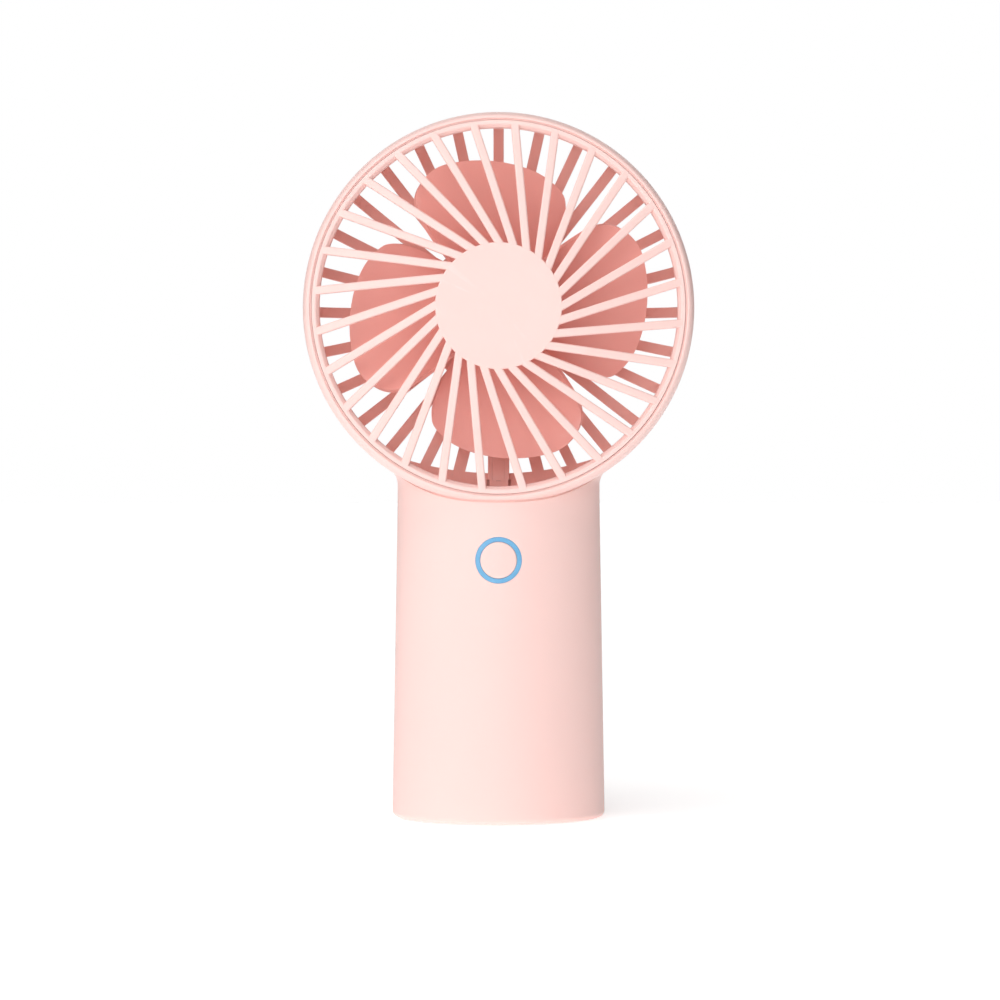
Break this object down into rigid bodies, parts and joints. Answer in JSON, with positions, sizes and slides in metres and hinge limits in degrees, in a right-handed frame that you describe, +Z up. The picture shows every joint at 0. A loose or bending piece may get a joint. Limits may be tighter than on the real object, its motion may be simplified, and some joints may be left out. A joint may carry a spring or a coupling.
{
  "type": "handheld electric fan",
  "caption": "Handheld fan: round head with a swirl-spoked grille over a bladed impeller, on an oval handle with a lit push button and a flat base that stands.",
  "frame": {"origin": "middle of the base pad's underside, on the surface that the fan stands on", "axes": "+Z up the handle to the head, -Y out of the front grille, +X to the right seen from the front"},
  "size_m": [0.096, 0.0421, 0.1748],
  "materials": {
    "blush_plastic": "fine satin mould texture, pale blush pink",
    "coral_plastic": "satin, coral pink",
    "light_guide": "milky translucent light guide, lit sky blue",
    "steel": "zinc plated",
    "laminated_steel": "stacked thin sheets",
    "ferrite": "bonded ferrite magnet, dark grey",
    "copper_wire": "enamelled copper wire",
    "bronze": "sintered bronze",
    "white_plastic": "plain moulded",
    "circuit_board": "green solder mask",
    "chip_black": "moulded black",
    "light_chip": "small lamp chip",
    "cell_can": "shrink-wrapped can",
    "nickel": "bright strip",
    "wire_black": "smooth insulation",
    "wire_red": "smooth insulation",
    "foam": "closed-cell foam",
    "pad_rubber": "matte pink silicone"
  },
  "bodies": {
    "housing": {"body_shell": "blush_plastic", "front_grille": "blush_plastic", "base_cap": "blush_plastic", "rear_guard": "coral_plastic", "rear_cap": "coral_plastic", "duct_cover": "coral_plastic", "light_ring": "light_guide", "motor_screw_1": "steel", "motor_screw_2": "steel", "motor_screw_3": "steel", "board_screw_1": "steel", "board_screw_2": "steel", "base_screw_left": "steel", "base_screw_right": "steel", "usb_socket": "steel", "stator_core": "laminated_steel", "stator_coil_1": "copper_wire", "stator_coil_2": "copper_wire", "stator_coil_3": "copper_wire", "stator_coil_4": "copper_wire", "stator_coil_5": "copper_wire", "stator_coil_6": "copper_wire", "front_bush": "bronze", "rear_bush": "bronze", "motor_base": "white_plastic", "inner_frame": "white_plastic", "motor_board": "circuit_board", "main_board": "circuit_board", "usb_board": "circuit_board", "drive_chip": "chip_black", "charge_chip": "chip_black", "power_inductor": "chip_black", "switch_body": "chip_black", "light_left": "light_chip", "light_right": "light_chip", "battery_cell_left": "cell_can", "battery_cell_right": "cell_can", "nickel_strip_top": "nickel", "nickel_strip_bottom": "nickel", "motor_cable": "wire_black", "usb_lead": "wire_black", "battery_lead_negative": "wire_black", "battery_lead_positive": "wire_red", "foam_pad": "foam", "base_pad": "pad_rubber"},
    "rotor": {"impeller": "coral_plastic", "rotor_cup": "steel", "magnet_ring": "ferrite", "motor_shaft": "steel", "retaining_clip": "steel"},
    "button": {"button_cap": "blush_plastic", "switch_plunger": "white_plastic"}
  },
  "joints": [
    {"name": "impeller_spin", "type": "hinge", "parent": "housing", "child": "rotor", "pos_m": [0, 0, 0.12675], "axis": [0, 1, 0], "continuous": true},
    {"name": "button_press", "type": "slide", "parent": "housing", "child": "button", "axis": [0, 1, 0], "range_m": [0, 0.0005], "stiffness_N_per_m": 4000}
  ]
}
